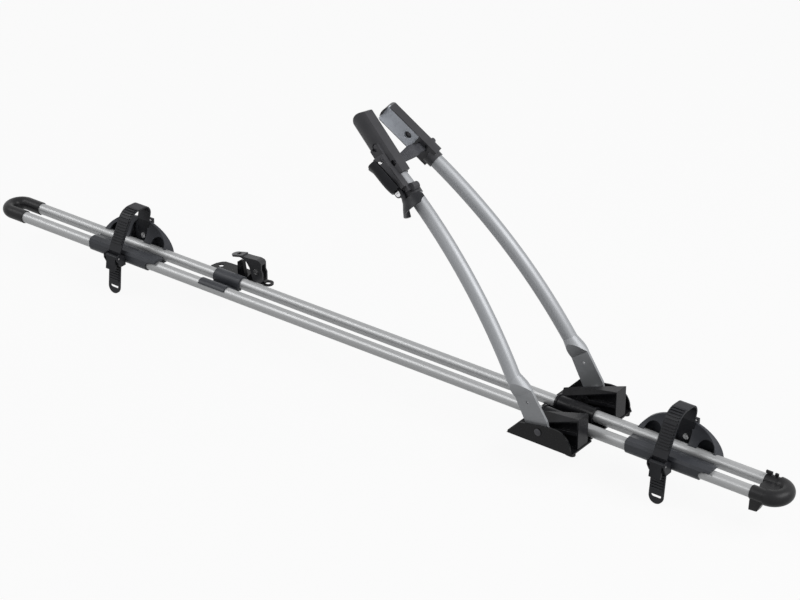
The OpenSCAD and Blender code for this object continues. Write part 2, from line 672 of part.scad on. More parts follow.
// Everything behind the dish's front face
module dish_back() difference() {
  translate([dish_y0, -8]) square([dish_y1 + skirt_t - dish_y0, dish_h + 12]);
  translate([dish_cy, dish_cz]) circle(r = dish_r, $fn = 96);
}
module front_holder() translate([front_holder_x, 0, 0]) holder();
module rear_holder() translate([rear_holder_x, 0, 0]) holder();

// Ratchet strap: anchored inside the skirt, over the wheel, through the buckle, tail hanging
leg_y = dish_y1 - strap_t / 2 - gap;
arch_y = leg_y - arch_r + 4.5;
arch_top = 70;
arch_z = arch_top - arch_r;
shoulder_r = 13;
shoulder_y = leg_y + 4 - shoulder_r;
shoulder_z = arch_top - 0.5 - shoulder_r;
rivet_z = 14;
rivet_d = 5;
buckle_y = -38.6;
buckle_z = 6;
buckle_bend = buckle_z + 7;
tail_z = buckle_z - 14;
tail_tilt = 6;
reach = [arch_y - buckle_y, arch_z - buckle_bend];
leg_a = atan2(reach[1], reach[0]) + asin(arch_r / norm(reach));
leg_len = sqrt(pow(norm(reach), 2) - pow(arch_r, 2));
arch_a = leg_a + 90;
function along(p, a, d) = [p[0] + d * cos(a), p[1] + d * sin(a)];
function arc(c, r, a0, a1) = let (n = ceil(abs(a1 - a0) / 6))
  [for (i = [0:n]) along(c, a0 + (a1 - a0) * i / n, r)];
// Middle line of the strap in the YZ plane: anchor, shoulder, arch, buckle, tail
strap_path = concat([[leg_y, rivet_z - 8], [leg_y, shoulder_z - 15]],
  arc([shoulder_y, shoulder_z], shoulder_r, -15, 90), arc([arch_y, arch_z], arch_r, 90, arch_a),
  [[buckle_y, buckle_bend], [buckle_y, tail_z], along([buckle_y, tail_z], -90 - tail_tilt, tail_len - 14)]);
// Left-hand normal of a path at its point i, and the outline of a band of half width h along it
function normal(p, i) = let (t = p[min(i + 1, len(p) - 1)] - p[max(i - 1, 0)]) [-t[1], t[0]] / norm(t);
function band_outline(p, h) = concat([for (i = [0:len(p) - 1]) p[i] + h * normal(p, i)],
  [for (i = [len(p) - 1:-1:0]) p[i] - h * normal(p, i)]);
module strap_web() polygon(band_outline(strap_path, strap_t / 2));
tooth_h = 1.6;
module tooth() translate([-tooth_pitch * 0.28, 0]) square([tooth_pitch * 0.56, strap_t / 2 + tooth_h]);
module strap_teeth() {
  for (d = [14:tooth_pitch:leg_len]) translate(along([buckle_y, buckle_bend], leg_a, d)) rotate(leg_a) tooth();
  for (d = [0:tooth_pitch:arch_r * (arch_a - 90) * PI / 180]) let (a = arch_a - d / arch_r * 180 / PI)
    translate(along([arch_y, arch_z], a, arch_r)) rotate(a - 90) mirror([1, 0]) tooth();
  for (d = [6:tooth_pitch:tail_len - 20]) translate(along([buckle_y, tail_z], -90 - tail_tilt, d))
    rotate(90 - tail_tilt) tooth();
}
module strap() color([0.1, 0.1, 0.11]) translate([0, 0, rail_z]) difference() {
  union() {
    slab_x(-strap_w / 2, strap_w / 2) strap_web();
    slab_x(-strap_w / 2 + 2, strap_w / 2 - 2) strap_teeth();
    // finger loop at the end of the tail
    translate([0, buckle_y, tail_z]) rotate([-tail_tilt, 0, 0]) slab_y(-strap_t / 2, strap_t / 2)
      difference() {
        union() {
          translate([-strap_w / 2, 10 - tail_len + 2]) square([strap_w, 12]);
          translate([0, 12 - tail_len]) circle(r = strap_w / 2);
        }
        translate([-5, 10 - tail_len + 3]) circle(r = 3.5);
        translate([5, 10 - tail_len + 3]) circle(r = 3.5);
        translate([-5, 10 - tail_len - 0.5]) square([10, 7]);
      }
  }
  translate([0, 0, rivet_z]) bar_y(rivet_d + 2 * slip, 0, 60);
}
module front_strap() translate([front_holder_x + strap_x, 0, 0]) strap();
module rear_strap() translate([rear_holder_x + strap_x, 0, 0]) strap();
module strap_rivet() color(steel) translate([0, 0, rail_z + rivet_z]) {
  bar_y(rivet_d, leg_y - strap_t / 2 - 0.2, dish_y1 + skirt_t + 0.2);
  bar_y(9, dish_y1 + skirt_t, dish_y1 + skirt_t + 1.5);
  bar_y(9, leg_y - strap_t / 2 - 1.7, leg_y - strap_t / 2);
}
module front_strap_rivet() translate([front_holder_x + strap_x, 0, 0]) strap_rivet();
module rear_strap_rivet() translate([rear_holder_x + strap_x, 0, 0]) strap_rivet();

// Buckle: base on the sleeve's outside, two cheeks, a sprung lever with pawl teeth
cheek_x = strap_w / 2 + 0.6;
cheek_t = 2;
lever_pin_y = buckle_y - 6.5;
buckle_low = -10;
buckle_high = 12;
module buckle() color(black) translate([0, 0, rail_z]) difference() {
  union() {
    translate([-cheek_x - cheek_t, buckle_y + strap_t / 2 + 0.6, buckle_low])
      cube([2 * (cheek_x + cheek_t), holder_out - buckle_y - strap_t / 2 - 0.6, buckle_high - buckle_low - 6]);
    for (s = [-1, 1]) slab_x(s > 0 ? cheek_x : -cheek_x - cheek_t, s > 0 ? cheek_x + cheek_t : -cheek_x)
      polygon([[holder_out - 2, buckle_low], [holder_out - 2, 6], [lever_pin_y + 2, buckle_high],
        [lever_pin_y - 4, buckle_high - 2], [lever_pin_y - 4, 2], [buckle_y - 4, buckle_low]]);
  }
  translate([0, lever_pin_y, 6]) bar_x(3 + 2 * slip, -40, 40);
}
module buckle_lever() color(black) translate([0, 0, rail_z]) difference() {
  union() {
    translate([0, lever_pin_y, 6]) bar_x(7, -cheek_x + gap, cheek_x - gap);
    // thumb tab, bowed outwards below the pin
    slab_x(-cheek_x + 3, cheek_x - 3) polygon([[lever_pin_y - 3.5, 6], [lever_pin_y + 0.5, 4],
      [lever_pin_y - 0.5, -8], [lever_pin_y - 3, -15], [lever_pin_y - 6, -15], [lever_pin_y - 4.6, -6]]);
    // pawl that drops between two teeth
    slab_x(-6, 6) polygon([[lever_pin_y, 9], [lever_pin_y + 3, 3.6], [lever_pin_y + 3.6, 6]]);
  }
  translate([0, lever_pin_y, 6]) bar_x(3 + 2 * slip, -40, 40);
}
module buckle_pin() color(steel) translate([0, lever_pin_y, rail_z + 6])
  bar_x(3, -cheek_x - cheek_t, cheek_x + cheek_t);
module front_buckle() translate([front_holder_x + strap_x, 0, 0]) buckle();
module rear_buckle() translate([rear_holder_x + strap_x, 0, 0]) buckle();
module front_buckle_lever() translate([front_holder_x + strap_x, 0, 0]) buckle_lever();
module rear_buckle_lever() translate([rear_holder_x + strap_x, 0, 0]) buckle_lever();
module front_buckle_pin() translate([front_holder_x + strap_x, 0, 0]) buckle_pin();
module rear_buckle_pin() translate([rear_holder_x + strap_x, 0, 0]) buckle_pin();

// Keeper loop on the rim, where the strap's end is parked
keeper_x = 6;
module keeper() color(black) translate([keeper_x, dish_y1 + skirt_t, rail_z + dish_h - 6]) difference() {
  cube([12, 5, 8]);
  translate([1.8, -1, 2]) cube([8.4, 10, 4.2]);
}
module front_keeper() translate([front_holder_x, 0, 0]) keeper();
module rear_keeper() translate([rear_holder_x, 0, 0]) keeper();

// Rear foot: saddle on both rails, eyelet plate, cam lever
plate_y0 = 30;
plate_y1 = 76;
foot_plate_t = 2.5;
foot_plate_z = mat_t;
foot_top = foot_plate_z + foot_plate_t;
foot_x0 = -28;      // rear end of the sleeves
foot_x1 = foot_x0 + foot_len;
foot_near_r = rail_r + 1.8;
foot_far_r = rail_r + 2.8;
eyelet_x = -7.5;    // middle of the eyelets, from the middle of the foot
eyelet_y = 60;
module foot_saddle() color(charcoal) translate([foot_x, 0, 0]) difference() {
  union() {
    translate([0, rail_y, rail_z]) bar_x(2 * foot_far_r, foot_x0, foot_x1);
    translate([0, -rail_y, rail_z]) bar_x(2 * foot_near_r, foot_x0, foot_x1);
    translate([foot_x0, -rail_y, foot_top]) cube([foot_len - 5, plate_y0 + rail_y + 10, 4]);
  }
  for (s = [-1, 1]) translate([0, s * rail_y, rail_z]) bar_x(rail_d + 2 * slip, -foot_len, foot_len);
  slab_x(-foot_len, foot_len) {
    under(foot_top);
    // open below, where the rails lie close over the plate
    for (s = [-1, 1]) translate([s * rail_y - 4, foot_top - 1]) square([8, 4]);
  }
  // the near sleeve is open on its outer lower side, so that it snaps on
  translate([-foot_len, -rail_y - 20, rail_z - 20]) cube([2 * foot_len, 20, 25]);
  foot_rivet_places() cylinder(d = 5 + 2 * slip, h = 60, center = true);
}
module foot_rivet_places() for (x = [-20, 12]) translate([x, plate_y0 + 5, 0]) children();
module foot_plate() color(black) translate([foot_x, 0, foot_plate_z]) difference() {
  linear_extrude(foot_plate_t) union() {
    translate([foot_x0 - 4, 10]) square([foot_len, plate_y1 - 10]);
    translate([0, plate_y0 + 18]) square([foot_x1, plate_y1 - plate_y0 - 18]);
    translate([eyelet_x, eyelet_y]) {
      // the rear lobe is the larger and runs to a point
      translate([-eyelet_span / 2, 0]) polygon([[-13, -10], [-11.5, 1], [-7, 10], [-2, 14], [8, 15],
        [26, plate_y1 - eyelet_y], [26, -17], [2, -17], [-10, -13]]);
      translate([eyelet_span / 2, 0]) circle(r = 9);
      translate([-eyelet_span / 2, -8]) square([eyelet_span, 16]);
    }
  }
  for (s = [-1, 1]) translate([eyelet_x + s * eyelet_span / 2, eyelet_y, -1]) cylinder(d = eyelet_d, h = 10);
  foot_rivet_places() cylinder(d = 5 + 2 * slip, h = 60, center = true);
}
module foot_rivets() color(steel) translate([foot_x, 0, 0]) foot_rivet_places() {
  translate([0, 0, foot_plate_z]) cylinder(d = 5, h = foot_plate_t + 4);
  translate([0, 0, foot_plate_z - 1.5]) cylinder(d = 9, h = 1.5);
  translate([0, 0, foot_plate_z + foot_plate_t + 4]) cylinder(d = 9, h = 1.5);
}
// Bracket that stands on the plate and carries the cam lever's pin
cam_x = 26.5;
cam_z = rail_z + 10;
cam_y0 = 48;
cam_y1 = 61;
cheek = 2.6;        // wall of the cam lever
bracket_y = [cam_y0 + cheek + gap, cam_y1 - cheek - gap];
bracket_t = 2.5;
module foot_bracket() color(black) translate([foot_x, 0, 0]) difference() {
  union() {
    translate([-14, bracket_y[0], foot_top]) cube([cam_x + 14, bracket_y[1] - bracket_y[0], 3]);
    // post under the tongue
    slab_y(bracket_y[0], bracket_y[1])
      polygon([[-14, foot_top], [-14, 29], [-10, 32], [-3, 30], [1, foot_top + 2]]);
    for (y = [bracket_y[0], bracket_y[1] - bracket_t]) translate([cam_x, y, cam_z]) {
      bar_y(13, 0, bracket_t);
      slab_y(0, bracket_t) polygon([[-6.5, 0], [6.5, 0], [0, foot_top - cam_z], [-22, foot_top - cam_z]]);
    }
  }
  translate([cam_x, 0, cam_z]) bar_y(cam_pin_d + 2 * slip, 0, 100);
}
cam_pin_d = 5;
cam_top = foot_top + cam_h;
module cam_side() union() {
  polygon([[cam_x, cam_z], [39.5, cam_z], [37, 30], [37, cam_top - 4], [34, cam_top - 1], [28, cam_top],
    [12, cam_top - 1.5], [-6, cam_top - 2.5], [-8, cam_top - 5], [-2.4, cam_top - 6], [7.3, 36],
    [13, 28.3], [15, 22]]);
  // cam edge that turns clear of the plate
  intersection() {
    translate([cam_x, cam_z]) circle(r = cam_z - foot_top - 0.6);
    polygon([[cam_x, cam_z + 1], [39.5, cam_z + 1], [39.5, foot_top - 1], [21, foot_top - 1], [15, 22]]);
  }
}
// hollow between the cheeks, open below and at both ends
module cam_inner() polygon([[cam_x + 20, foot_top - 5], [cam_x + 20, cam_z + 2], [cam_x + 8, cam_top - 5],
  [12, cam_top - 4.5], [-2, cam_top - 5.4], [-40, cam_top - 16], [-40, foot_top - 5]]);
module cam_lever() color(black) translate([foot_x, 0, 0]) difference() {
  union() {
    difference() {
      slab_y(cam_y0, cam_y1) cam_side();
      slab_y(cam_y0 + cheek, cam_y1 - cheek) cam_inner();
    }
    // tongue with a finger slot
    translate([-2, (cam_y0 + cam_y1) / 2, cam_top - 4]) rotate([0, -14, 0]) difference() {
      linear_extrude(3.2) union() {
        translate([-16, 0]) circle(r = 7.5);
        translate([-16, -7.5]) square([18, 15]);
      }
      translate([-13, -4, -1]) cube([7, 8, 6]);
    }
    for (y = [cam_y0, cam_y1 - cheek]) translate([cam_x, y, cam_z]) bar_y(13, 0, cheek);
  }
  translate([cam_x, 0, cam_z]) bar_y(cam_pin_d + 2 * slip, 0, 100);
}
module cam_pin() color(steel) translate([foot_x + cam_x, 0, cam_z]) {
  bar_y(cam_pin_d, cam_y0 - 0.6, cam_y1 + 0.6);
  for (y = [cam_y0 - 1.6, cam_y1 + gap]) bar_y(8, y, y + 1.3);
}

rail_near();
rail_far();
rear_end_cap();
front_end_cap();
base_plate();
base_sleeve_near();
base_sleeve_far();
casing_near();
casing_far();
base_foot_pads();
fold_bolt_near();
fold_bolt_far();
fold_nuts();
casing_screws();
arm_near();
arm_far();
jaw_near();
jaw_far();
pad_near();
pad_far();
jaw_bolts_near();
jaw_bolts_far();
link_band();
clamp_housing();
clamp_rivet();
clamp_lever();
lever_pin();
lock_cylinder();
front_holder();
front_strap();
front_buckle();
front_buckle_lever();
front_buckle_pin();
front_keeper();
front_strap_rivet();
rear_holder();
rear_strap();
rear_buckle();
rear_buckle_lever();
rear_buckle_pin();
rear_keeper();
rear_strap_rivet();
foot_saddle();
foot_plate();
foot_rivets();
foot_bracket();
cam_lever();
cam_pin();
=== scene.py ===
"""Looks of a roof mounted bike carrier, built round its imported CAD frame. Lengths are in metres."""

from math import cos, radians, sin

import bmesh
import bpy
import numpy as np
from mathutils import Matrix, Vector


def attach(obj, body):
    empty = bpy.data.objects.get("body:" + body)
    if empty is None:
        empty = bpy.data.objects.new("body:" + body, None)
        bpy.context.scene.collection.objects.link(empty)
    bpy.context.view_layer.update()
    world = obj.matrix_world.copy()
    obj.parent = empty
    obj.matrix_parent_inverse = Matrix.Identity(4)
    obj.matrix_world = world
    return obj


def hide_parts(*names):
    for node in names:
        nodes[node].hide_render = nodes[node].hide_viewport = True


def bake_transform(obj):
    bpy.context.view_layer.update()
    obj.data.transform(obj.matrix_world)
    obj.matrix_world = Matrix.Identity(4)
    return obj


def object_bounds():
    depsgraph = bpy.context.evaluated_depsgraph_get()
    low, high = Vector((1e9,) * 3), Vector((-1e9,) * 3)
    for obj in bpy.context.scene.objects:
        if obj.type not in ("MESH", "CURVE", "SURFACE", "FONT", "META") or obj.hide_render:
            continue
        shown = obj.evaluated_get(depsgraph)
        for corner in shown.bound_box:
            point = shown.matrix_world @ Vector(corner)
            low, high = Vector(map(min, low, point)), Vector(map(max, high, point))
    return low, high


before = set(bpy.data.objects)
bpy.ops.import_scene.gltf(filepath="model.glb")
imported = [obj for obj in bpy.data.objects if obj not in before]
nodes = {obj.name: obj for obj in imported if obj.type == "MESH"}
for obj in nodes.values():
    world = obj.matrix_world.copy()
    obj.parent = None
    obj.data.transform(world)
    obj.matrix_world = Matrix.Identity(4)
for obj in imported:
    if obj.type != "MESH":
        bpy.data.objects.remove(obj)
cad_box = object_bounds()
mm = 0.001


# Node graphs of the finishes

def finish_graph(name):
    """A new material with its graph, shader and object coordinates."""
    material = bpy.data.materials.new(name)
    material.use_nodes = True
    graph = material.node_tree
    shader = graph.nodes["Principled BSDF"]
    where = graph.nodes.new("ShaderNodeTexCoord").outputs["Object"]
    return material, graph, shader, where


def stretched(graph, where, scale):
    """Scaled coordinates, for a pattern that runs one way."""
    mapping = graph.nodes.new("ShaderNodeMapping")
    mapping.vector_type = "TEXTURE"
    mapping.inputs["Scale"].default_value = [1 / s for s in scale]
    graph.links.new(where, mapping.inputs["Vector"])
    return mapping.outputs["Vector"]


def noise(graph, where, scale, detail=3.0, rough=0.55):
    """Fractal noise between 0 and 1 with `scale` features to the metre."""
    texture = graph.nodes.new("ShaderNodeTexNoise")
    texture.inputs["Scale"].default_value = scale
    texture.inputs["Detail"].default_value = detail
    texture.inputs["Roughness"].default_value = rough
    graph.links.new(where, texture.inputs["Vector"])
    return texture.outputs["Fac"]


def ramp(graph, value, low, high, start=0, end=1):
    """Maps `value` from low..high onto start..end, held at the ends."""
    node = graph.nodes.new("ShaderNodeMapRange")
    for socket, number in zip(("From Min", "From Max", "To Min", "To Max"), (low, high, start, end)):
        node.inputs[socket].default_value = number
    graph.links.new(value, node.inputs["Value"])
    return node.outputs["Result"]


def mix(graph, factor, first, second):
    """Colour that goes from `first` to `second` with the factor. Each is a colour or a socket."""
    node = graph.nodes.new("ShaderNodeMix")
    node.data_type = "RGBA"
    graph.links.new(factor, node.inputs[0])
    for socket, colour in ((node.inputs[6], first), (node.inputs[7], second)):
        if isinstance(colour, bpy.types.NodeSocket):
            graph.links.new(colour, socket)
        else:
            socket.default_value = (*colour, 1)
    return node.outputs[2]


def bump(graph, shader, height, depth, strength, edge):
    """Relief `depth` metres deep on the shader's normal, over edges rounded to radius `edge`."""
    rounded = graph.nodes.new("ShaderNodeBevel")
    rounded.samples = 4
    rounded.inputs["Radius"].default_value = edge
    node = graph.nodes.new("ShaderNodeBump")
    node.inputs["Distance"].default_value = depth
    node.inputs["Strength"].default_value = strength
    graph.links.new(height, node.inputs["Height"])
    graph.links.new(rounded.outputs["Normal"], node.inputs["Normal"])
    graph.links.new(node.outputs["Normal"], shader.inputs["Normal"])


def reckon(graph, operation, *values):
    """One Math node on sockets or numbers."""
    node = graph.nodes.new("ShaderNodeMath")
    node.operation = operation
    for socket, value in zip(node.inputs, values):
        if isinstance(value, bpy.types.NodeSocket):
            graph.links.new(value, socket)
        else:
            socket.default_value = value
    return node.outputs[0]


def split_axes(graph, where):
    """The X, Y and Z sockets of some coordinates."""
    split = graph.nodes.new("ShaderNodeSeparateXYZ")
    graph.links.new(where, split.inputs[0])
    return split.outputs


# The arms' bow: its centre and radius in the XZ plane, from the chord between the ends of the tube
bow_low = np.array([-48.46, 88.85]) * mm
bow_high = np.array([-268.07, 323.53]) * mm
bow_radius = 840 * mm


def bow_centre():
    """Centre of the circle through both ends of the bow, on its lower, forward side."""
    chord = bow_high - bow_low
    span = np.hypot(*chord)
    across = np.array([-chord[1], chord[0]]) / span
    return (bow_low + bow_high) / 2 + across * np.sqrt(bow_radius ** 2 - (span / 2) ** 2)


def along_arm(graph, where):
    """Coordinates that run along the arms' bow: arc length, distance from the bow's centre, Y."""
    axes = split_axes(graph, where)
    x, z = (reckon(graph, "SUBTRACT", axes[axis], c) for axis, c in zip(("X", "Z"), bow_centre()))
    arc = reckon(graph, "MULTIPLY", reckon(graph, "ARCTAN2", z, x), bow_radius)
    squares = [reckon(graph, "MULTIPLY", leg, leg) for leg in (x, z)]
    out = reckon(graph, "POWER", reckon(graph, "ADD", *squares), 0.5)
    join = graph.nodes.new("ShaderNodeCombineXYZ")
    for socket, value in zip(join.inputs, (arc, out, axes["Y"])):
        graph.links.new(value, socket)
    return join.outputs[0]


def along_rail(graph, where):
    """The rails run along X as they are."""
    return where


def toned(colour, share):
    """A colour made darker or paler by a share."""
    return [c * share for c in colour]


# Finishes

hair_lines, soft_bands = (6, 2600, 2600), (1.5, 160, 160)      # features to the metre along and across a tube
# Painted shade: towards their pressed ends the arms' colour darkens to this share, for the dark surroundings their
# flat blades reflect
blade_top, blade_fade, blade_shade_share = 66 * mm, 22 * mm, 0.7       # the arms' pressed ends, by height


def anodised(name, colour, along, roughness, metallic=0.3, shade_blades=False):
    """Satin anodised tube: hair-fine lines drawn along its length, slow cloudy changes of gloss, and, when asked,
    painted shade: the colour darkened by height towards the tube's pressed, flat ends."""
    material, graph, shader, where = finish_graph(name)
    run = along(graph, where)
    lines = noise(graph, stretched(graph, run, hair_lines), 1.0, detail=2.0)
    bands = noise(graph, stretched(graph, run, soft_bands), 1.0, detail=2.0)
    clouds = noise(graph, where, 16)
    tone = mix(graph, ramp(graph, lines, 0.3, 0.7), toned(colour, 0.965), colour)
    tone = mix(graph, ramp(graph, bands, 0.35, 0.65, end=0.5), tone, toned(colour, 0.96))
    tone = mix(graph, ramp(graph, clouds, 0.4, 0.7, end=0.5), tone, toned(colour, 0.95))
    # Painted shade: darker by height towards the pressed blades, standing in for the dark surroundings they
    # reflect
    if shade_blades:
        blade = ramp(graph, split_axes(graph, where)["Z"], blade_top, blade_top + blade_fade, 1, 0)
        tone = mix(graph, blade, tone, toned(colour, blade_shade_share))
    graph.links.new(tone, shader.inputs["Base Color"])
    gloss = ramp(graph, clouds, 0.3, 0.7, roughness - 0.02, roughness + 0.03)
    graph.links.new(gloss, shader.inputs["Roughness"])
    shader.inputs["Metallic"].default_value = metallic
    return material


def moulded(name, colour, roughness, specular=0.18, grain=900, relief=0.04 * mm):
    """Moulded plastic: fine leather-like grain, flow marks in the gloss and rubbed paler patches."""
    material, graph, shader, where = finish_graph(name)
    pores = noise(graph, where, grain, detail=2.0)
    flow = noise(graph, where, 22, detail=4.0)
    rubbed = [c * 1.25 + 0.006 for c in colour]
    graph.links.new(mix(graph, ramp(graph, flow, 0.42, 0.75), colour, rubbed), shader.inputs["Base Color"])
    gloss = ramp(graph, flow, 0.3, 0.7, roughness - 0.06, roughness + 0.06)
    graph.links.new(gloss, shader.inputs["Roughness"])
    shader.inputs["Specular IOR Level"].default_value = specular
    bump(graph, shader, pores, relief, strength=0.7, edge=0.7 * mm)
    return material


def painted_steel(name, colour, roughness, specular=0.14):
    """Glossy powder paint: orange peel and dust-fine specks."""
    material, graph, shader, where = finish_graph(name)
    peel = noise(graph, where, 420, detail=2.0)
    dust = noise(graph, where, 2600, detail=1.0)
    speck = [c + 0.08 for c in colour]
    graph.links.new(mix(graph, ramp(graph, dust, 0.66, 0.74, end=0.5), colour, speck), shader.inputs["Base Color"])
    gloss = ramp(graph, peel, 0.3, 0.7, roughness - 0.04, roughness + 0.05)
    graph.links.new(gloss, shader.inputs["Roughness"])
    shader.inputs["Specular IOR Level"].default_value = specular
    bump(graph, shader, peel, 0.08 * mm, strength=0.6, edge=0.5 * mm)
    return material


def speckled_rubber(name, colour, speck, roughness, grain):
    """Cellular rubber: matt, with cloudy specks of a second colour and a shallow pitted skin."""
    material, graph, shader, where = finish_graph(name)
    cells = graph.nodes.new("ShaderNodeTexVoronoi")
    cells.inputs["Scale"].default_value = grain
    graph.links.new(where, cells.inputs["Vector"])
    clouds = noise(graph, where, grain * 0.6)
    tone = mix(graph, ramp(graph, clouds, 0.5, 0.66, end=0.8), colour, speck)
    graph.links.new(tone, shader.inputs["Base Color"])
    shader.inputs["Roughness"].default_value = roughness
    bump(graph, shader, cells.outputs["Distance"], 0.3 * mm, strength=0.55, edge=0.7 * mm)
    return material


def bright_steel(name, colour, roughness):
    """Zinc-plated or polished steel with faint handling marks in the gloss."""
    material, graph, shader, where = finish_graph(name)
    marks = noise(graph, where, 300, detail=4.0, rough=0.7)
    tone = mix(graph, ramp(graph, marks, 0.4, 0.7), colour, toned(colour, 0.85))
    graph.links.new(tone, shader.inputs["Base Color"])
    graph.links.new(ramp(graph, marks, 0.3, 0.8, roughness, roughness + 0.12), shader.inputs["Roughness"])
    shader.inputs["Metallic"].default_value = 1.0
    bump(graph, shader, marks, 0.03 * mm, strength=0.4, edge=0.3 * mm)
    return material


finishes = {
    "rail": anodised("rail_satin", (0.36, 0.365, 0.37), along_rail, 0.36),
    "arm": anodised("arm_satin", (0.31, 0.32, 0.335), along_arm, 0.42, shade_blades=True),
    "paint": painted_steel("black_paint", (0.007, 0.007, 0.008), 0.24),
    "casing": moulded("casing_black", (0.0085, 0.0085, 0.01), 0.27, specular=0.13),
    "cap": moulded("cap_black", (0.015, 0.015, 0.016), 0.36, specular=0.15),
    "holder": moulded("holder_slate", (0.034, 0.036, 0.042), 0.38),
    "jaw": moulded("jaw_charcoal", (0.041, 0.041, 0.045), 0.36),
    "lever": moulded("lever_black", (0.014, 0.0145, 0.017), 0.34, specular=0.12),
    "strap": moulded("strap_black", (0.013, 0.0135, 0.016), 0.42, grain=1400, relief=0.03 * mm),
    "cam": moulded("cam_grey", (0.036, 0.036, 0.039), 0.34, specular=0.24),
    "pad": speckled_rubber("pad_grey", (0.54, 0.57, 0.62), (0.3, 0.32, 0.36), 0.85, 1500),
    "band": speckled_rubber("band_slate", (0.015, 0.016, 0.021), (0.038, 0.04, 0.05), 0.6, 700),
    "bolt": bright_steel("bolt_zinc", (0.5, 0.5, 0.5), 0.28),
    "dark_bolt": bright_steel("bolt_black", (0.06, 0.06, 0.065), 0.35),
    "chrome": bright_steel("lock_bright", (0.75, 0.75, 0.76), 0.12),
}

# Finish of each CAD node, by the start of its name after front_ or rear_. The first that fits holds.
wearing = {
    "rail_": "rail", "end_cap": "cap", "base_plate": "paint", "base_sleeve": "casing", "base_foot": "cap",
    "casing_screws": "bolt", "casing_": "casing", "fold_bolt": "dark_bolt", "fold_nuts": "bolt", "arm_": "arm",
    "jaw_bolts": "dark_bolt", "jaw_": "jaw", "pad_": "pad", "link_band": "band", "clamp_housing": "jaw",
    "clamp_rivet": "bolt", "clamp_lever": "lever", "lever_pin": "dark_bolt", "lock_cylinder": "chrome",
    "holder": "holder", "strap_rivet": "bolt", "strap": "strap", "buckle_pin": "bolt", "buckle": "lever",
    "keeper": "lever", "foot_saddle": "holder", "foot_plate": "paint", "foot_rivets": "bolt",
    "foot_bracket": "paint", "cam_lever": "cam", "cam_pin": "bolt",
}


def dress(piece, material):
    """Puts one material on every slot of a piece."""
    if not piece.data.materials:
        piece.data.materials.append(material)
    for i in range(len(piece.data.materials)):
        piece.data.materials[i] = material


for name, piece in nodes.items():
    short = name.removeprefix("front_").removeprefix("rear_")
    dress(piece, finishes[next(finish for start, finish in wearing.items() if short.startswith(start))])


# Places on the carrier, as the CAD gives them

arm_top = np.array([-268.07, -39.72, 323.53]) * mm      # upper end of the near arm's axis
jaw_elevation = 38.6
jaw_lean = 8.8


def turn_y(angle):
    """Rotation matrix about Y."""
    c, s = cos(radians(angle)), sin(radians(angle))
    return np.array([[c, 0, s], [0, 1, 0], [-s, 0, c]])


def turn_z(angle):
    """Rotation matrix about Z."""
    c, s = cos(radians(angle)), sin(radians(angle))
    return np.array([[c, -s, 0], [s, c, 0], [0, 0, 1]])


jaw_axes = turn_y(jaw_elevation - 180) @ turn_z(jaw_lean)
band_axes = turn_y(jaw_elevation - 180)


def in_jaw(points):
    """Near jaw's frame (up along it, inwards, down), in mm, to the row frame in metres."""
    return arm_top + np.asarray(points) * mm @ jaw_axes.T


def in_band(points):
    """Frame between the jaws (up along them, across, down), in mm, to the row frame in metres."""
    return arm_top * (1, 0, 1) + np.asarray(points) * mm @ band_axes.T


# Meshes from arrays of points

def piece_of(name, points, faces, body, finish, smooth=True):
    """One object with its place in its mesh, dressed, riding on a body and in a material slot."""
    mesh = bpy.data.meshes.new(name)
    mesh.from_pydata(points.reshape(-1, 3), [], faces)
    mesh.update()
    mesh.shade_smooth() if smooth else mesh.shade_flat()
    piece = bpy.data.objects.new(name, mesh)
    bpy.context.scene.collection.objects.link(piece)
    dress(piece, finishes[finish])
    if body:
        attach(piece, body)
    return piece


def grid_faces(rows, columns, closed=False):
    """Quads of a grid of points, its columns joined round when closed."""
    i, j = np.meshgrid(np.arange(rows - 1), np.arange(columns if closed else columns - 1), indexing="ij")
    k = (j + 1) % columns
    this, following = i * columns, (i + 1) * columns
    return np.stack([this + j, this + k, following + k, following + j], -1).reshape(-1, 4).tolist()


def tube_faces(rows, columns):
    """Quads round a tube whose rows of points are closed rings, and one face over each end."""
    last = (rows - 1) * columns
    ends = [list(range(columns)), list(range(last, last + columns))[::-1]]
    return grid_faces(rows, columns, closed=True) + ends


def add_wall(piece, thickness, edge):
    """Solidify inwards, then round the edges."""
    wall = piece.modifiers.new("wall", "SOLIDIFY")
    wall.thickness = thickness
    wall.offset = -1
    soften(piece, edge)


def soften(piece, edge, segments=2):
    """Bevel of the piece's sharp edges."""
    bevel = piece.modifiers.new("edge", "BEVEL")
    bevel.width = edge
    bevel.segments = segments
    bevel.limit_method = "ANGLE"
    bevel.angle_limit = radians(40)


def fix_outwards(piece):
    """Turns the faces of a closed piece outwards."""
    shape = bmesh.new()
    shape.from_mesh(piece.data)
    bmesh.ops.recalc_face_normals(shape, faces=shape.faces)
    shape.to_mesh(piece.data)
    shape.free()


# Band between the jaws, in mm in its own frame

band_half_length, bell_reach = 36, 23
band_up, band_down, band_arch = 30, -6, 5.5             # up along the jaws, down, and how far the bell lifts it
band_half_width, band_half_thick = (7.3, 2.6), (1.8, 1.0)       # at its ends, and what the bell adds
rib_height, rib_pitch = 0.22, 2.6
band_squareness = 0.45


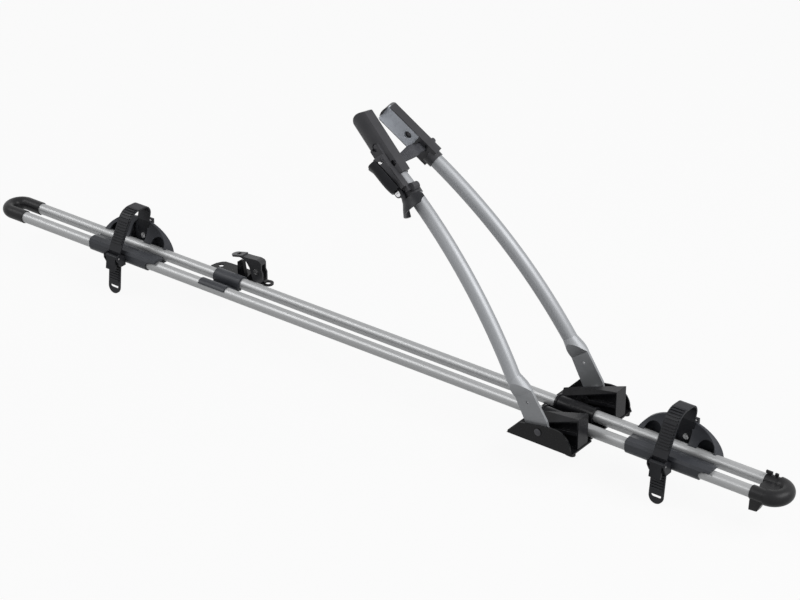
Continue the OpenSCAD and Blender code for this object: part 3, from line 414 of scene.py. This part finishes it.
def make_band():
    """Rubber band between the jaws: a flat bar across, its section a superellipse, its middle wider, swollen and
    arched upwards by a cosine bell, with fine sine ribs across it."""
    rows, columns = 181, 48
    across = np.linspace(-band_half_length, band_half_length, rows)
    turn = np.linspace(0, 2 * np.pi, columns, endpoint=False)
    bell = np.where(np.abs(across) < bell_reach, 0.5 + 0.5 * np.cos(np.pi * across / bell_reach), 0)
    ribs = rib_height * np.sin(2 * np.pi * across / rib_pitch) * (bell > 0)
    half_width = (band_half_width[0] + band_half_width[1] * bell)[:, None]
    half_thick = (band_half_thick[0] + band_half_thick[1] * bell + ribs)[:, None]
    x, z = (half * np.sign(wave) * np.abs(wave) ** band_squareness
            for half, wave in ((half_width, np.cos(turn)), (half_thick, np.sin(turn))))
    y = np.broadcast_to(across[:, None], x.shape)
    points = np.stack([band_up + x, y, band_down - band_arch * bell[:, None] + z], -1)
    band = piece_of("jaw_band", in_band(points), tube_faces(rows, columns), None, "band")
    fix_outwards(band)
    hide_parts("link_band")
    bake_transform(band)


# Clamp, in mm in the near jaw's frame: places across and down at four stations along the jaw

clamp_stations = (46, 20, 0, -12)
lever_rim = ((-31.0, -25.8, -21.4, -19.5), (0.0, -3.0, -3.2, -5.5))         # beside the housing
lever_flat = ((-31.8, -28.6, -24.2, -21), (13.4, 11.0, 11.6, 9.5))          # middle of its flat side
lever_under = ((-12, -12, -10, -8), (27.0, 21.5, 17.5, 14.5))               # its edge under the jaw
lever_ends, cheek_ends = (43, -8), (46, -7)         # the lever clears the jaw when it swings out
lever_wall, lever_edge, cheek_edge = 2.0 * mm, 0.6 * mm, 0.8 * mm
cheek_top = ((-7, 20, 32, 46), (-8.5, -9.0, -9.7, -9.7))        # along the jaw, down
rivet_place, rivet_facing = (36, -25.6, -3.2), (0.0, -0.73, -0.68)
rivet_profile = ((2.5, -1.5), (2.5, 0.3), (2.3, 0.7), (1.6, 1.05), (0.8, 1.2), (0.02, 1.22))    # radius, height


def clamp_curve(curve, s):
    """Places across and down of one curve of the clamp at `s` along the jaw: cubics through its four stations."""
    return [np.polyval(np.polyfit(clamp_stations, values, 3), s) for values in curve]


def make_lever_side():
    """Outer wall of the clamp lever above its waist: at each place along the jaw a parabola from the rim beside
    the housing, down the flat side, to under the jaw."""
    rows, columns = 80, 28
    s = np.linspace(*lever_ends, rows)[:, None]
    t = np.linspace(0, 1, columns)
    rim, flat, under = (clamp_curve(curve, s) for curve in (lever_rim, lever_flat, lever_under))
    y, z = ((1 - t) ** 2 * a + 2 * t * (1 - t) * (2 * m - (a + b) / 2) + t ** 2 * b
            for a, m, b in zip(rim, flat, under))
    points = np.stack([np.broadcast_to(s, y.shape), y, z], -1)[::-1]
    wall = piece_of("lever_side", in_jaw(points), grid_faces(rows, columns), "lever", "lever")
    add_wall(wall, lever_wall, lever_edge)


def make_housing_cheek():
    """Wedge on the clamp housing that fills up to the lever's rim: a five-sided section whose outer face slants
    out along the rim and then turns in behind the lever, lofted along the jaw."""
    rows, corners = 54, 5
    s = np.linspace(*cheek_ends, rows)
    rim_y, rim_z = clamp_curve(lever_rim, s)
    top = np.interp(s, *cheek_top)
    level = np.ones_like(s)
    y = np.stack([-12.5 * level, -19.8 * level, rim_y + 1.8, rim_y + 4.2, -15 * level], 1)
    z = np.stack([top, top, rim_z + 0.4, rim_z + 5.5, rim_z + 4], 1)
    points = np.stack([np.broadcast_to(s[:, None], y.shape), y, z], -1)
    cheek = piece_of("housing_cheek", in_jaw(points), tube_faces(rows, corners), "near_arm", "jaw",
                     smooth=False)
    fix_outwards(cheek)
    soften(cheek, cheek_edge, 3)


def make_cheek_rivet():
    """Domed rivet on the cheek's slanted face: a profile turned about the face's normal."""
    columns = 32
    out = np.array(rivet_facing)
    along = np.array([1.0, 0, 0])
    across = np.cross(out, along)
    radius, height = np.array(rivet_profile).T[:, :, None, None]
    turn = np.linspace(0, 2 * np.pi, columns, endpoint=False)[:, None]
    ring = np.cos(turn) * along + np.sin(turn) * across
    points = rivet_place + radius * ring + height * out
    faces = tube_faces(len(rivet_profile), columns)
    rivet = piece_of("cheek_rivet", in_jaw(points), faces, "near_arm", "bolt")
    fix_outwards(rivet)


# Camera at the photograph's viewpoint, found from its vanishing points

camera_place = np.array([1822, -2795, 2011]) * mm
camera_turn, camera_elevation = 37.29, 28.53        # degrees
camera_lens, camera_film = 121.5, 36        # mm
camera_reach = (0.05, 50)


def set_camera():
    """A level camera: turned about the vertical by `camera_turn`, looking down by `camera_elevation`."""
    camera = bpy.data.cameras.new("camera")
    camera.lens = camera_lens
    camera.sensor_width = camera_film
    camera.clip_start, camera.clip_end = camera_reach
    holder = bpy.data.objects.new("camera", camera)
    bpy.context.scene.collection.objects.link(holder)
    holder.location = camera_place
    holder.rotation_euler = (radians(90 - camera_elevation), 0, radians(camera_turn))
    bpy.context.scene.camera = holder


# Studio

# Place, what it faces, size in metres and power in watts of each lamp
key_lamp = ((-2.4, -1.7, 2.6), (-0.4, 0, 0.1), (2.8, 1.5), 62)
side_lamp = ((2.1, 0.5, 2.3), (-0.3, 0, 0.15), (2.6, 1.8), 95)
white = (1, 1, 1, 1)
world_strength = 0.25
floor_colour, floor_roughness, floor_gloss = 0.45, 0.9, 0.1
floor_white = 0.93      # share of plain white in the floor that a viewer sees
floor_reach, floor_gap = 8.0, 1 * mm


def lamp(name, place, aim, size, power):
    """A rectangular soft lamp at `place` that faces `aim`, its first side level."""
    light = bpy.data.lights.new(name, "AREA")
    light.shape = "RECTANGLE"
    light.size, light.size_y = size
    light.energy = power
    holder = bpy.data.objects.new(name, light)
    bpy.context.scene.collection.objects.link(holder)
    holder.location = place
    x, y, z = np.subtract(aim, place)
    holder.rotation_euler = (np.arctan2(np.hypot(x, y), -z), 0, np.arctan2(y, x) - np.pi / 2)


def seen_white(graph, shade, bright, share=1.0):
    """Shows `bright` to the camera, in reflections and through glass, by `share`, and `shade` to other rays."""
    path = graph.nodes.new("ShaderNodeLightPath")
    seen = reckon(graph, "MAXIMUM", path.outputs["Is Camera Ray"], path.outputs["Is Glossy Ray"])
    seen = reckon(graph, "MAXIMUM", seen, path.outputs["Is Transmission Ray"])
    choose = graph.nodes.new("ShaderNodeMixShader")
    graph.links.new(reckon(graph, "MULTIPLY", seen, share), choose.inputs[0])
    graph.links.new(shade, choose.inputs[1])
    graph.links.new(bright, choose.inputs[2])
    return choose.outputs[0]


def set_world():
    """White surroundings that light the object only softly."""
    world = bpy.data.worlds.new("surroundings")
    bpy.context.scene.world = world
    world.use_nodes = True
    graph = world.node_tree
    sky = graph.nodes["Background"]
    sky.inputs["Color"].default_value = white
    sky.inputs["Strength"].default_value = world_strength
    bright = graph.nodes.new("ShaderNodeBackground")
    bright.inputs["Color"].default_value = white
    shown = seen_white(graph, sky.outputs[0], bright.outputs[0])
    graph.links.new(shown, graph.nodes["World Output"].inputs["Surface"])


def set_floor():
    """Pale floor just below the carrier, almost white to the camera but for the shadow."""
    low = cad_box[0][2] - floor_gap
    corners = [(x * floor_reach, y * floor_reach, low) for x, y in ((-1, -1), (1, -1), (1, 1), (-1, 1))]
    mesh = bpy.data.meshes.new("floor")
    mesh.from_pydata(corners, [], [(0, 1, 2, 3)])
    floor = bpy.data.objects.new("floor", mesh)
    bpy.context.scene.collection.objects.link(floor)
    material, graph, shader, where = finish_graph("floor_pale")
    shader.inputs["Base Color"].default_value = (floor_colour, floor_colour, floor_colour, 1)
    shader.inputs["Roughness"].default_value = floor_roughness
    shader.inputs["Specular IOR Level"].default_value = floor_gloss
    glow = graph.nodes.new("ShaderNodeEmission")
    glow.inputs["Color"].default_value = white
    shown = seen_white(graph, shader.outputs[0], glow.outputs[0], floor_white)
    graph.links.new(shown, graph.nodes["Material Output"].inputs["Surface"])
    dress(floor, material)


make_band()
make_lever_side()
make_housing_cheek()
make_cheek_rivet()
set_camera()
bpy.context.scene.view_settings.view_transform = "Standard"
set_world()
set_floor()
lamp("key", *key_lamp)
lamp("side", *side_lamp)
